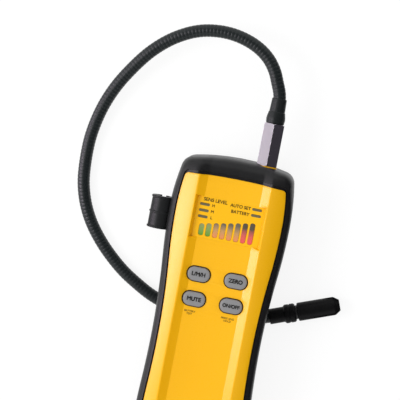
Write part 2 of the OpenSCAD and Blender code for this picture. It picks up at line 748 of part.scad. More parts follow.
// Leaf springs at both ends of the bay
module leaf(x, y, s) translate([x, y, cell_z]) rotate([90, 0, 90])
    linear_extrude(5, center = true)
        polygon([for (p = [[0.02, -5.5], [0.42, -5.5], [0.42, 3.2], [2.1, 0.6], [2.1, -3.4], [2.5, -3],
                           [2.5, 0.8], [0.42, 4], [0.42, 5.5], [0.02, 5.5]]) [s * p.x, p.y]]);
module battery_contacts() color("silver") placed()
    for (i = [-1:1]) {
        x = i * (2 * cell_r + 0.1);
        leaf(x, bay_y0, 1);
        leaf(x, bay_y1, -1);
    }

// Probe base

hex_y0 = boss_top + 0.05;
hex_y1 = hex_y0 + hex_length;
neck_y0 = hex_y1 - 8;
sleeve_y1 = hex_y1 + 16.7;
neck_r = neck_diameter / 2;

module probe_base() color("silver") placed() translate([probe_x, 0, probe_z]) difference() {
    union() {
        intersection() {
            translate([0, hex_y0, 0]) rotate([-90, 0, 0]) rotate([0, 0, 30])
                cylinder(d = hex_flats / cos(30), h = hex_length, $fn = 6);
            turned([[0, hex_y0], [hex_flats / 2 + 0.3, hex_y0], [hex_flats / 2 + 1.2, hex_y0 + 0.7],
                    [hex_flats / 2 + 1.2, hex_y1 - 0.7], [hex_flats / 2 + 0.3, hex_y1], [0, hex_y1]]);
        }
        turned([[0, tail_y], [4.6, tail_y], [5, tail_y + 0.5], [5, hex_y0 + 0.1], [0, hex_y0 + 0.1]]);
        turned([[0, tail_y - 5], [1.6, tail_y - 5], [1.6, tail_y + 0.1], [0, tail_y + 0.1]]);
    }
    turned([[0, tail_y - 9], [0.9, tail_y - 9], [0.9, tail_y + 2], [2.4, tail_y + 2], [2.4, neck_y0 - 0.1],
            [neck_r + 0.05, neck_y0 - 0.1], [neck_r + 0.05, hex_y1 + 1], [0, hex_y1 + 1]]);
}

module probe_nut() color("silver") placed() translate([probe_x, half - 17, probe_z]) rotate([-90, 0, 0])
    difference() {
        cylinder(d = 13.5 / cos(30), h = 4.9, $fn = 6);
        translate([0, 0, -1]) cylinder(r = 5.05, h = 9);
    }

module base_sleeve() color("dimgray") placed() translate([probe_x, 0, probe_z])
    turned([[neck_r + 0.05, hex_y1 + 0.05], [5.6, hex_y1 + 0.05], [5.95, hex_y1 + 0.4], [6.25, hex_y1 + 3],
            [6.1, hex_y1 + 4.4], [5.45, hex_y1 + 7.7], [5.05, hex_y1 + 8], [5.15, hex_y1 + 8.5],
            [4.85, hex_y1 + 16.2], [neck_r + 0.35, sleeve_y1], [neck_r + 0.05, sleeve_y1]]);

// Gooseneck: straight out of its sleeve, then over to the left, down, and behind the case

tip_heading = 21;
tip_dir = [cos(tip_heading), sin(tip_heading), 0];
tip_z = tip_diameter / 2 + 0.5;
neck_end = [54, 4.6, tip_z];
lie_z = neck_r + 0.4;
rise = probe_z;

neck_points = [
    [probe_x, neck_y0 - 6, rise], [probe_x, neck_y0 + 6, rise], [probe_x, sleeve_y1 - 9.4, rise],
    [probe_x, sleeve_y1 - 1, rise], [probe_x - 0.9, sleeve_y1 + 3.8, rise], [14.1, half + 54.15, rise],
    [10.6, half + 61.8, rise - 0.1],
    [5.2, half + 68.8, rise - 0.3], [-2.2, half + 74.3, rise - 0.6], [-11.2, half + 78.1, rise - 1.1],
    [-21.3, half + 80.2, rise - 1.8], [-31.4, half + 80.3, rise - 2.6], [-41.6, half + 78.6, rise - 3.6],
    [-51.8, half + 74.6, rise - 4.8], [-62.7, half + 67.8, rise - 6.5], [-73.6, half + 57.8, rise - 8.5],
    [-83.7, half + 44.9, mix(rise, lie_z, 0.6)], [-92.1, half + 31.3, mix(rise, lie_z, 0.73)],
    [-98.5, half + 16.2, mix(rise, lie_z, 0.85)], [-102.4, half + 0.1, mix(rise, lie_z, 0.93)],
    [-103.6, 84.8, mix(rise, lie_z, 0.98)], [-103, 68.7, lie_z], [-100.9, 57.5, lie_z], [-97, 46.7, lie_z],
    [-91.2, 36.3, lie_z], [-83.2, 26.1, lie_z], [-74.4, 17.3, lie_z], [-64.5, 9.2, lie_z], [-53.7, 2.5, lie_z],
    [-43.1, -3, lie_z], [-30.4, -7.4, lie_z], [-16.3, -10.6, lie_z], [-2.3, -11.7, lie_z], [11.7, -10.4, lie_z],
    [24.7, -6.6, lie_z], neck_end - 21 * tip_dir - [0, 0, 1.3], neck_end - 16 * tip_dir - [0, 0, 0.15],
    neck_end - 10 * tip_dir, neck_end, neck_end + 8 * tip_dir];
neck_line = lengths(dense(neck_points));
neck_s0 = 6;
neck_s1 = neck_line[len(neck_line) - 1] - 8;
ridge_depth = 0.25;
plain = sleeve_y1 - neck_y0 + 0.5;
ridges = floor((neck_s1 - neck_s0 - plain - 8) / ridge_pitch);

module gooseneck() color("dimgray") placed()
    tube(neck_points, concat(
        [[neck_s0, neck_r - ridge_depth], [neck_s0 + plain - 0.6, neck_r - ridge_depth]],
        [for (i = [0:ridges - 1]) let (s = neck_s0 + plain + i * ridge_pitch)
            each [[s, neck_r - ridge_depth], [s + ridge_pitch / 2, neck_r]]],
        [[neck_s0 + plain + ridges * ridge_pitch, neck_r - ridge_depth], [neck_s1, neck_r - ridge_depth]]), 10);

// Tip: turned pieces along the gooseneck's last straight

module at_tip() placed() translate(neck_end) rotate([0, 0, tip_heading]) rotate([0, 90, 0]) children();
module tip_turned(points) at_tip() rotate_extrude() polygon(points);

collar_r = tip_diameter / 2 + 0.15;
cap_y0 = 2.2;
cap_y1 = cap_y0 + tip_length;
cap_r = tip_diameter / 2;

module tip_collar() color("dimgray")
    tip_turned([[neck_r + 0.45, -17], [5.1, -17], [5.2, -16.7], [5.2, -7.2], [collar_r - 0.5, -6.6],
                [collar_r, -6], [collar_r, -3.8], [collar_r - 0.35, -3.4], [collar_r - 0.35, -3],
                [collar_r, -2.6], [collar_r, -0.2], [collar_r - 0.5, 0.4], [collar_r - 0.7, 0.8],
                [1.6, 0.8], [1.6, 0.1], [neck_r + 0.05, 0.1], [neck_r + 0.05, -8]]);

module tip_holder() color("black")
    tip_turned([[1.6, 0.85], [4.7, 0.85], [4.7, cap_y0 - 0.05], [4.2, cap_y0 - 0.05], [4.2, cap_y0 + 12],
                [3.9, cap_y0 + 12.3], [1.6, cap_y0 + 12.3]]);

module tip_cap() color("dimgray")
    tip_turned([[4.25, cap_y0], [cap_r - 0.5, cap_y0], [cap_r, cap_y0 + 0.6],
                [cap_r - 0.05, cap_y1 - 4.2], [cap_r - 0.2, cap_y1 - 3.4], [cap_r - 2.4, cap_y1 - 0.2],
                [cap_r - 2.6, cap_y1], [1.7, cap_y1], [1.7, cap_y1 - 2], [4.25, cap_y1 - 4.5]]);

module sensor_element() color("silver")
    tip_turned([[0, cap_y0 + 12.4], [3.6, cap_y0 + 12.4], [3.6, cap_y0 + 13.2], [3, cap_y0 + 13.2],
                [3, cap_y0 + 18.4], [2.6, cap_y0 + 18.8], [0, cap_y0 + 18.8]]);

module tip_filter() color("white")
    tip_turned([[0, cap_y1 - 6.4], [4.15, cap_y1 - 6.4], [4.15, cap_y1 - 4.7], [0, cap_y1 - 4.7]]);

front_shell();
rear_shell();
rubber_boot();
foot_pads();
probe_clip();
battery_door();
door_screw();
case_screws();
display_overlay();
indicator_lenses();
green_bar_lenses();
orange_bar_lenses();
red_bar_lenses();
key_level();
key_zero();
key_mute();
key_power();
keypad_mat();
key_contacts();
main_board();
indicator_leds();
board_chips();
buzzer();
board_screws();
pump_head();
pump_motor();
pump_cushions();
air_tube();
battery_cells();
battery_contacts();
probe_base();
probe_nut();
base_sleeve();
gooseneck();
tip_collar();
tip_holder();
tip_cap();
sensor_element();
tip_filter();
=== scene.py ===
import json
import math
import bpy
from mathutils import Matrix, Vector


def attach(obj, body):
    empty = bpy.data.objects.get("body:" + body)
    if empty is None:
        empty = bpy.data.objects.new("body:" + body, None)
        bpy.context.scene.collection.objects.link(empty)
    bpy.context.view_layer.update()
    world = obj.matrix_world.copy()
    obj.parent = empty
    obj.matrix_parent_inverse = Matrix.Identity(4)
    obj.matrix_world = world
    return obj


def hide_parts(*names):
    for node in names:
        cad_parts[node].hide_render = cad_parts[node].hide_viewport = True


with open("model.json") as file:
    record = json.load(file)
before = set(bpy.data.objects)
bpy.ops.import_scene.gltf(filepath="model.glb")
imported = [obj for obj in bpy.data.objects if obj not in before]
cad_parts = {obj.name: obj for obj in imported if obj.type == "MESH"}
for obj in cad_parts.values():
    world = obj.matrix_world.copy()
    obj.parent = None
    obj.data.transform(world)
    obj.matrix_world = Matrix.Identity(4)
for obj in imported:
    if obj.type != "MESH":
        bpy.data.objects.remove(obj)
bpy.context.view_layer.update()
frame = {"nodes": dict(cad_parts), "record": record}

# Sizes of the part are in millimetres, as in its drawing, and those of the camera and the stage in metres

MM = 0.001
# The drawing's middle lies this far along the case from the part's origin
FOOT_MID = 88.25
nodes = frame["nodes"]
bodies = frame["record"]["behaviour"]["bodies"]
body_of = {name: body for body, members in bodies.items() for name in members}

# Camera at the photograph's place: nearly over the face, a little to the probe end and the right, rolled

TILT = math.radians(5.0)
ROLL = math.radians(10.8)
YAW = math.radians(3.5)
CAMERA_PLACE = (0.03769, 0.24128, 0.99127)
CAMERA_CLIP = 0.01
FIELD_HALF = 0.130
FIELD_AWAY = 0.960
turned = Matrix.Rotation(YAW, 3, "Y")
across = Vector((1.0, 0.0, 0.0))
along = Vector((0.0, math.cos(TILT), -math.sin(TILT)))
image_right = turned @ (math.cos(ROLL) * across + math.sin(ROLL) * along)
image_up = turned @ (math.cos(ROLL) * along - math.sin(ROLL) * across)
image_back = turned @ Vector((0.0, math.sin(TILT), math.cos(TILT)))
facing = Matrix((image_right, image_up, image_back)).transposed().to_4x4()
camera = bpy.data.objects.new("camera", bpy.data.cameras.new("camera"))
camera.data.angle = 2.0 * math.atan(FIELD_HALF / FIELD_AWAY)
camera.data.clip_start = CAMERA_CLIP
camera.matrix_world = Matrix.Translation(CAMERA_PLACE) @ facing
bpy.context.scene.collection.objects.link(camera)
bpy.context.scene.camera = camera
bpy.context.scene.view_settings.view_transform = "Standard"

# Making and finishing pieces

# Points closer than this are one, and faces that turn by less than this many degrees are one
SAME_POINT = 0.003
SAME_CUT = 0.001
SAME_FACE = 0.5
EDGE_STEPS = 2


def only(obj):
    """Leaves one object selected and active."""
    bpy.ops.object.select_all(action="DESELECT")
    obj.select_set(True)
    bpy.context.view_layer.objects.active = obj


def apply_modifier(obj, kind, **settings):
    """Adds a modifier with its settings and applies it to the mesh."""
    only(obj)
    modifier = obj.modifiers.new(kind.title(), kind)
    for name, value in settings.items():
        setattr(modifier, name, value)
    bpy.ops.object.modifier_apply(modifier=modifier.name)


def settle(obj, name, material, body):
    """Puts a finished mesh at the origin, paints it and lets it ride on its body."""
    only(obj)
    bpy.ops.object.transform_apply(location=True, rotation=True, scale=True)
    obj.name = name
    obj.data.name = name
    obj.data.materials.clear()
    obj.data.materials.append(material)
    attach(obj, body)


def slice_across(obj, step):
    """Cuts a mesh across at even steps along the case, so that soft shading runs evenly on it."""
    low = min(vertex.co.y for vertex in obj.data.vertices)
    high = max(vertex.co.y for vertex in obj.data.vertices)
    only(obj)
    bpy.ops.object.mode_set(mode="EDIT")
    for i in range(int((high - low) / (step * MM))):
        bpy.ops.mesh.select_all(action="SELECT")
        bpy.ops.mesh.bisect(plane_co=(0.0, low + (i + 0.5) * step * MM, 0.0), plane_no=(0.0, 1.0, 0.0),
                            threshold=SAME_CUT * MM)
    bpy.ops.object.mode_set(mode="OBJECT")


def moulded_copy(node, material, edge, angle=35.0, slices=0.0):
    """Copy of a CAD node with its triangles joined and its edges rounded, in the node's place.

    edge is the width of the rounding, and edges that turn by more than angle degrees get it and stay
    crisp. Broad faces stay flat, or with slices, cut across at that spacing, shade softly.
    """
    obj = bpy.data.objects.new(node + "_finished", nodes[node].data.copy())
    bpy.context.collection.objects.link(obj)
    only(obj)
    if obj.data.has_custom_normals:
        bpy.ops.mesh.customdata_custom_splitnormals_clear()
    bpy.ops.object.mode_set(mode="EDIT")
    bpy.ops.mesh.select_all(action="SELECT")
    bpy.ops.mesh.remove_doubles(threshold=SAME_POINT * MM)
    bpy.ops.mesh.dissolve_limited(angle_limit=math.radians(SAME_FACE))
    bpy.ops.object.mode_set(mode="OBJECT")
    if slices:
        slice_across(obj, slices)
    if edge:
        apply_modifier(obj, "BEVEL", width=edge * MM, segments=EDGE_STEPS, limit_method="ANGLE",
                       angle_limit=math.radians(angle))
    only(obj)
    bpy.ops.object.shade_smooth_by_angle(angle=math.radians(angle))
    if not slices:
        apply_modifier(obj, "WEIGHTED_NORMAL", keep_sharp=True)
    settle(obj, node + "_finished", material, body_of[node])
    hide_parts(node)
    return obj


def paint(node, material):
    """Gives a CAD node that keeps its shape its finish."""
    obj = nodes[node]
    obj.data.materials.clear()
    obj.data.materials.append(material)


# Materials

PER_METRE = 1000.0
DRIFT_DETAIL = 3.0
GRAIN_DETAIL = 2.0
GRAIN_STRENGTH = 0.6
# Uneven gloss runs between these shares of a finish's roughness
GLOSS_LOW = 0.8
GLOSS_HIGH = 1.2


def srgb(code):
    """Linear colour of an sRGB hex code."""
    parts = [int(code[i:i + 2], 16) / 255.0 for i in (1, 3, 5)]
    return tuple(c / 12.92 if c <= 0.04045 else ((c + 0.055) / 1.055) ** 2.4 for c in parts) + (1.0,)


def add(tree, kind, settings, links=()):
    """Adds a node, sets its properties and sockets, and links its inputs."""
    made = tree.nodes.new(kind)
    for key, value in settings.items():
        if isinstance(key, str) and hasattr(made, key):
            setattr(made, key, value)
        else:
            made.inputs[key].default_value = value
    for socket, source in links:
        tree.links.new(source, made.inputs[socket])
    return made


def blank(name):
    """New node material and its Principled shader."""
    material = bpy.data.materials.new(name)
    material.use_nodes = True
    return material, material.node_tree.nodes["Principled BSDF"]


def grained(name, colour, shade, mottle, grain, depth, rough, ior, shine=0.5, metallic=0.0,
            stretch=(1, 1, 1)):
    """Finish with slow colour drift, fine grain and uneven gloss.

    mottle and grain are pattern sizes in millimetres and depth is the grain's height in millimetres.
    A grain finer than about 0.3 would not show in the render, so it is drawn that coarse. shine is the
    share of the mirror reflection that dust and grain leave, and stretch draws the grain out along an axis.
    """
    material, shader = blank(name)
    tree = material.node_tree
    place = add(tree, "ShaderNodeTexCoord", {}).outputs["Object"]
    shader.inputs["IOR"].default_value = ior
    shader.inputs["Specular IOR Level"].default_value = shine
    shader.inputs["Metallic"].default_value = metallic
    drift = add(tree, "ShaderNodeTexNoise", {"Scale": PER_METRE / mottle, "Detail": DRIFT_DETAIL},
                [("Vector", place)])
    tint = add(tree, "ShaderNodeMix", {"data_type": "RGBA", 6: srgb(colour), 7: srgb(shade)},
               [(0, drift.outputs["Fac"])])
    tree.links.new(tint.outputs[2], shader.inputs["Base Color"])
    drawn = add(tree, "ShaderNodeMapping", {"Scale": stretch}, [("Vector", place)])
    fine = add(tree, "ShaderNodeTexNoise", {"Scale": PER_METRE / grain, "Detail": GRAIN_DETAIL},
               [("Vector", drawn.outputs["Vector"])])
    gloss = add(tree, "ShaderNodeMapRange", {"To Min": GLOSS_LOW * rough, "To Max": GLOSS_HIGH * rough},
                [("Value", fine.outputs["Fac"])])
    tree.links.new(gloss.outputs["Result"], shader.inputs["Roughness"])
    bump = add(tree, "ShaderNodeBump", {"Strength": GRAIN_STRENGTH, "Distance": depth * MM},
               [("Height", fine.outputs["Fac"])])
    tree.links.new(bump.outputs["Normal"], shader.inputs["Normal"])
    return material


# Moulded ABS, spark-textured: warm yellow with a satin sheen and a barely visible grain
abs_yellow = grained("moulded_abs_yellow", "#FDBD0C", "#FBB80A",
                     mottle=30, grain=0.5, depth=0.006, rough=0.29, ior=1.53, shine=0.3)
# Printed polycarbonate film: the same yellow, with less shine
film_yellow = grained("printed_polycarbonate_film", "#FDC00C", "#FBBB0A",
                      mottle=18, grain=0.6, depth=0.004, rough=0.3, ior=1.58, shine=0.2)
# Thermoplastic rubber, moulded: near black, soft wide highlights, fine matt grain
boot_black = grained("moulded_rubber_boot", "#1C1C1D", "#232324",
                     mottle=14, grain=0.7, depth=0.015, rough=0.4, ior=1.52, shine=0.25)
# Harder rubber of the clip, moulded: a shade lighter than the boot, with less shine
clip_black = grained("moulded_rubber_clip", "#202122", "#272829",
                     mottle=9, grain=0.6, depth=0.012, rough=0.4, ior=1.52, shine=0.13)
# Rubber pads, moulded: dull charcoal
pad_black = grained("moulded_rubber_pad", "#232323", "#2D2D2D",
                    mottle=6, grain=0.6, depth=0.03, rough=0.62, ior=1.52)
# Silicone rubber keys, moulded: mid grey, satin, faintly dusty
key_grey = grained("silicone_rubber_key", "#868688", "#8F8F91",
                   mottle=4, grain=0.5, depth=0.01, rough=0.42, ior=1.43, shine=0.4)
# Ink, screen printed: dense near black with little gloss
# The same black also paints the shade in the gaps round the keys
ink_and_shade_black = grained("printed_ink_and_painted_shade", "#17150F", "#1E1B15",
                    mottle=1.5, grain=0.3, depth=0.004, rough=0.6, ior=1.5, shine=0.2)
# Vinyl jacket over the steel hose, extruded: charcoal with soft highlights on every ridge
jacket_black = grained("extruded_vinyl_jacket", "#161C1D", "#1D2425",
                       mottle=8, grain=0.6, depth=0.01, rough=0.4, ior=1.54, shine=0.3)
# Rubber strain sleeve, moulded: charcoal, with a little less shine than the jacket
sleeve_black = grained("moulded_rubber_sleeve", "#191D1E", "#212526",
                       mottle=6, grain=0.5, depth=0.01, rough=0.42, ior=1.52, shine=0.24)
# Glass-filled nylon of the tip, moulded: black with a dry satin face
tip_black = grained("moulded_nylon_tip", "#0F0F10", "#151516",
                    mottle=5, grain=0.5, depth=0.012, rough=0.42, ior=1.53, shine=0.1)
# Aluminium hexagon bar, drawn and clear anodised: cool metal with lines along its length
bar_metal = grained("drawn_aluminium_bar", "#CFC9D2", "#C6BFCA",
                    mottle=12, grain=0.35, depth=0.0005, rough=0.08, ior=1.5, metallic=1.0,
                    stretch=(1, 0.03, 1))
# Zinc-plated steel screws: bright grey with a fine grain
screw_metal = grained("zinc_plated_steel", "#B9BBBD", "#A4A7AA",
                      mottle=3, grain=0.3, depth=0.004, rough=0.32, ior=1.5, metallic=1.0)
# Turned brass: warm yellow metal
nut_metal = grained("turned_brass", "#C8A35A", "#B48D45",
                    mottle=4, grain=0.3, depth=0.004, rough=0.3, ior=1.5, metallic=1.0)
# Epoxy-glass board under solder mask: deep green with an even gloss
board_mask = grained("epoxy_board_green", "#0F5A2C", "#0B4A24",
                     mottle=6, grain=0.5, depth=0.01, rough=0.35, ior=1.5)
# Carbon pills printed on the board: dull black
carbon_print = grained("printed_carbon", "#161616", "#202020",
                       mottle=1, grain=0.3, depth=0.01, rough=0.7, ior=1.5)
# Silicone sheet, moulded: milky grey
mat_grey = grained("silicone_sheet", "#C9C9C6", "#BDBDB9",
                   mottle=5, grain=0.5, depth=0.01, rough=0.5, ior=1.43)
# Epoxy chip packages, moulded: fine dull black
chip_epoxy = grained("moulded_epoxy", "#1A1A1B", "#242425",
                     mottle=2, grain=0.3, depth=0.012, rough=0.6, ior=1.55)
# Epoxy lamps, moulded: milky white
lamp_white = grained("moulded_lamp_white", "#E6E4DA", "#D9D6CB",
                     mottle=1.5, grain=0.3, depth=0.004, rough=0.35, ior=1.5)
# Acetal pump head, moulded: dark grey, waxy
acetal_dark = grained("moulded_acetal", "#2B2C2E", "#353638",
                      mottle=5, grain=0.5, depth=0.01, rough=0.45, ior=1.48)
# Deep-drawn steel can: grey with faint lines along its length
can_steel = grained("drawn_steel_can", "#AEB0B2", "#9C9EA1",
                    mottle=6, grain=0.3, depth=0.004, rough=0.3, ior=1.5, metallic=1.0,
                    stretch=(1, 0.05, 1))
# Soft rubber cushions, moulded: dull black
cushion_black = grained("soft_rubber_cushion", "#1C1C1C", "#272727",
                        mottle=4, grain=0.5, depth=0.03, rough=0.65, ior=1.52)
# Silicone tube, extruded: pale and cloudy
tube_pale = grained("extruded_silicone_tube", "#D8D6CE", "#CBC8BE",
                    mottle=5, grain=0.5, depth=0.006, rough=0.4, ior=1.43)
# Plastic sleeve shrunk on the cells: dark and glossy
cell_sleeve = grained("shrunk_vinyl_sleeve", "#2A2C30", "#34363B",
                      mottle=8, grain=0.5, depth=0.006, rough=0.25, ior=1.54)
# Nickel-plated spring steel: warm bright metal
spring_plate = grained("nickel_plated_spring", "#C9C6BF", "#B7B3AB",
                       mottle=3, grain=0.3, depth=0.003, rough=0.22, ior=1.5, metallic=1.0)
# Nylon holder inside the tip, moulded: black and dry
holder_black = grained("moulded_holder", "#1B1B1D", "#262628",
                       mottle=4, grain=0.4, depth=0.012, rough=0.5, ior=1.53)
# Stainless sensor can, drawn: clean bright grey
sensor_can = grained("stainless_can", "#BFC1C3", "#ADB0B2",
                     mottle=3, grain=0.3, depth=0.003, rough=0.25, ior=1.5, metallic=1.0)
# Pressed felt: off-white fibres
felt_white = grained("pressed_felt", "#DAD6C8", "#C8C3B3",
                     mottle=1.2, grain=0.4, depth=0.08, rough=0.9, ior=1.5)
# Tinted acrylic of the unlit indicators, moulded: smoky grey
smoke_grey = grained("tinted_acrylic_grey", "#6A6448", "#767053",
                     mottle=2.5, grain=0.4, depth=0.003, rough=0.3, ior=1.49, shine=0.3)

BAR_FOOT = 47.3
BAR_RISE = 12.0
BAR_CLOUD = 1.6
BAR_CLOUD_SHARE = 0.25
BAR_STOPS = (0.2, 0.55, 0.95)
BAR_ROUGH = (0.22, 0.34)
BAR_IOR = 1.49
BAR_GRAIN_STRENGTH = 0.3
BAR_GRAIN_DEPTH = 0.01


def bar_lens(name, low, middle, high):
    """Tinted acrylic bar: its colour is clear at the foot and greys towards the top."""
    material, shader = blank(name)
    tree = material.node_tree
    place = add(tree, "ShaderNodeTexCoord", {}).outputs["Object"]
    shader.inputs["IOR"].default_value = BAR_IOR
    cloud = add(tree, "ShaderNodeTexNoise", {"Scale": PER_METRE / BAR_CLOUD, "Detail": GRAIN_DETAIL},
                [("Vector", place)])
    axes = add(tree, "ShaderNodeSeparateXYZ", {}, [("Vector", place)])
    foot = (BAR_FOOT + FOOT_MID) * MM
    rise = add(tree, "ShaderNodeMapRange", {"From Min": foot, "From Max": foot + BAR_RISE * MM},
               [("Value", axes.outputs["Y"])])
    wave = add(tree, "ShaderNodeMath", {"operation": "MULTIPLY_ADD", 1: BAR_CLOUD_SHARE},
               [(0, cloud.outputs["Fac"]), (2, rise.outputs["Result"])])
    ramp = add(tree, "ShaderNodeValToRGB", {}, [("Fac", wave.outputs["Value"])])
    ramp.color_ramp.elements[0].position = BAR_STOPS[0]
    ramp.color_ramp.elements[0].color = srgb(low)
    ramp.color_ramp.elements[1].position = BAR_STOPS[2]
    ramp.color_ramp.elements[1].color = srgb(high)
    between = ramp.color_ramp.elements.new(BAR_STOPS[1])
    between.color = srgb(middle)
    tree.links.new(ramp.outputs["Color"], shader.inputs["Base Color"])
    gloss = add(tree, "ShaderNodeMapRange", {"To Min": BAR_ROUGH[0], "To Max": BAR_ROUGH[1]},
                [("Value", cloud.outputs["Fac"])])
    tree.links.new(gloss.outputs["Result"], shader.inputs["Roughness"])
    bump = add(tree, "ShaderNodeBump", {"Strength": BAR_GRAIN_STRENGTH, "Distance": BAR_GRAIN_DEPTH * MM},
               [("Height", cloud.outputs["Fac"])])
    tree.links.new(bump.outputs["Normal"], shader.inputs["Normal"])
    return material


# Tinted acrylic bars, moulded: green, orange and red, each with a smoky top
lens_green = bar_lens("tinted_acrylic_green", "#6FA03A", "#8CA45C", "#9E9270")
lens_orange = bar_lens("tinted_acrylic_orange", "#E8935A", "#C99A62", "#6E6A5C")
lens_red = bar_lens("tinted_acrylic_red", "#F0605A", "#D8645C", "#5E5648")

# Case, boot and clip

moulded_copy("front_shell", abs_yellow, edge=0.15, angle=25.0, slices=3.0)
moulded_copy("rear_shell", abs_yellow, edge=0.3)
moulded_copy("rubber_boot", boot_black, edge=0.35, angle=48.0)
moulded_copy("foot_pads", pad_black, edge=0.4)
moulded_copy("probe_clip", clip_black, edge=0.3)
moulded_copy("battery_door", abs_yellow, edge=0.2)
moulded_copy("door_screw", screw_metal, edge=0.12)
moulded_copy("case_screws", screw_metal, edge=0.12)

# Display film, with its rim drawn out to the window's leaning walls

WINDOW_MID = 59.05
FILM_HALF = (21.4, 13.0)
FILM_GROWTH = (1.01, 1.014, 1.0)
window_y = (WINDOW_MID + FOOT_MID) * MM
film = moulded_copy("display_overlay", film_yellow, edge=0.0)
for vertex in film.data.vertices:
    vertex.select = (abs(vertex.co.x) > FILM_HALF[0] * MM
                     or abs(vertex.co.y - window_y) > FILM_HALF[1] * MM)
only(film)
bpy.ops.object.mode_set(mode="EDIT")
bpy.ops.mesh.select_mode(type="VERT")
bpy.ops.transform.resize(value=FILM_GROWTH, center_override=(0.0, window_y, 0.0))
bpy.ops.object.mode_set(mode="OBJECT")
moulded_copy("indicator_lenses", smoke_grey, edge=0.12)

# Moulded ribs that close the window's leaning side walls, under the rails

RIB_FOOT = 21.5
RIB_LOW = 38.4
RIB_HIGH = 41.4
RIB_LEAN = 0.424
RIB_THICK = 0.9
RIB_LONG = 27.0
rib_middle = (RIB_LOW + RIB_HIGH) / 2 * MM
rib_tall = (RIB_HIGH - RIB_LOW) * MM
bpy.ops.object.select_all(action="DESELECT")
bpy.ops.mesh.primitive_cube_add(size=1.0)
ribs = bpy.context.object
ribs.scale = (RIB_THICK * MM, RIB_LONG * MM, rib_tall)
ribs.location = ((RIB_FOOT + RIB_THICK / 2) * MM, window_y, rib_middle)
bpy.ops.object.transform_apply(location=True, rotation=True, scale=True)
bpy.ops.object.mode_set(mode="EDIT")
bpy.ops.mesh.select_all(action="DESELECT")
bpy.ops.mesh.select_mode(type="VERT")
bpy.ops.object.mode_set(mode="OBJECT")
for vertex in ribs.data.vertices:
    vertex.select = vertex.co.z > rib_middle
bpy.ops.object.mode_set(mode="EDIT")
bpy.ops.transform.translate(value=(RIB_LEAN * rib_tall, 0.0, 0.0))
bpy.ops.object.mode_set(mode="OBJECT")
apply_modifier(ribs, "MIRROR", use_axis=(True, False, False))
bpy.ops.object.mode_set(mode="EDIT")
bpy.ops.mesh.select_all(action="SELECT")
bpy.ops.mesh.normals_make_consistent(inside=False)
bpy.ops.object.mode_set(mode="OBJECT")
settle(ribs, "window_ribs", abs_yellow, "case")

# Bars of the display, and keys

moulded_copy("green_bar_lenses", lens_green, edge=0.12)
moulded_copy("orange_bar_lenses", lens_orange, edge=0.12)
moulded_copy("red_bar_lenses", lens_red, edge=0.12)
for key in ("key_level", "key_zero", "key_mute", "key_power"):
    moulded_copy(key, key_grey, edge=0.0, angle=40.0)

# Probe

moulded_copy("probe_base", bar_metal, edge=0.18)
moulded_copy("probe_nut", nut_metal, edge=0.15)
moulded_copy("base_sleeve", sleeve_black, edge=0.3)
moulded_copy("tip_collar", tip_black, edge=0.15)
moulded_copy("tip_holder", holder_black, edge=0.12)
moulded_copy("tip_cap", tip_black, edge=0.25)

# Inside pieces keep their CAD shape

for node, material in (
        ("keypad_mat", mat_grey), ("key_contacts", carbon_print), ("main_board", board_mask),
        ("indicator_leds", lamp_white), ("board_chips", chip_epoxy), ("buzzer", chip_epoxy),
        ("board_screws", screw_metal), ("pump_head", acetal_dark), ("pump_motor", can_steel),
        ("pump_cushions", cushion_black), ("air_tube", tube_pale), ("battery_cells", cell_sleeve),
        ("battery_contacts", spring_plate), ("sensor_element", sensor_can), ("tip_filter", felt_white)):
    paint(node, material)

# Gooseneck: one ridge, repeated and bent along the route of the CAD arm

NECK_POINTS = [Vector(p) for p in (
    (17.3, 112.7, 23.7), (17.3, 124.7, 23.7), (17.3, 134, 23.7), (17.3, 142.4, 23.7),
    (16.4, 147.2, 23.7), (14.1, 152.9, 23.7), (10.6, 160.55, 23.6), (5.2, 167.55, 23.4),
    (-2.2, 173.05, 23.1), (-11.2, 176.85, 22.6), (-21.3, 178.95, 21.9), (-31.4, 179.05, 21.1),
    (-41.6, 177.35, 20.1), (-51.8, 173.35, 18.9), (-62.7, 166.55, 17.2), (-73.6, 156.55, 15.2),
    (-83.7, 143.65, 12.24), (-92.1, 130.05, 9.757), (-98.5, 114.95, 7.465), (-102.4, 98.85, 5.937),
    (-103.6, 84.8, 4.982), (-103, 68.7, 4.6), (-100.9, 57.5, 4.6), (-97, 46.7, 4.6),
    (-91.2, 36.3, 4.6), (-83.2, 26.1, 4.6), (-74.4, 17.3, 4.6), (-64.5, 9.2, 4.6),
    (-53.7, 2.5, 4.6), (-43.1, -3, 4.6), (-30.4, -7.4, 4.6), (-16.3, -10.6, 4.6),
    (-2.3, -11.7, 4.6), (11.7, -10.4, 4.6), (24.7, -6.6, 4.6))]
# The route runs straight into the tip: how far short of it, and how far below it, each last point lies
NECK_TIP = Vector((54.0, 4.6, 6.7))
TIP_HEADING = math.radians(21.0)
TIP_DIR = Vector((math.cos(TIP_HEADING), math.sin(TIP_HEADING), 0.0))
NECK_START = 6.0
NECK_SPARE = 8.0
for short, below in ((21.0, 1.3), (16.0, 0.15), (10.0, 0.0), (0.0, 0.0), (-NECK_SPARE, 0.0)):
    NECK_POINTS.append(NECK_TIP - short * TIP_DIR - Vector((0.0, 0.0, below)))
ROUTE_STEPS = 10
ROUTE_NEAR = 0.1
NECK_SIDES = 20
NECK_CRISP = 60.0
NECK_MERGE = 0.01
RIDGE_PITCH = 2.4
NECK_GROOVE = 4.03
NECK_SHOULDER = 4.15
NECK_CREST = 4.18
# Share of the pitch that each step of a ridge takes, and the radius it ends with
RIDGE_STEPS = ((0.2, NECK_SHOULDER), (0.25, NECK_CREST), (0.25, NECK_CREST), (0.2, NECK_SHOULDER),
               (0.1, NECK_GROOVE))


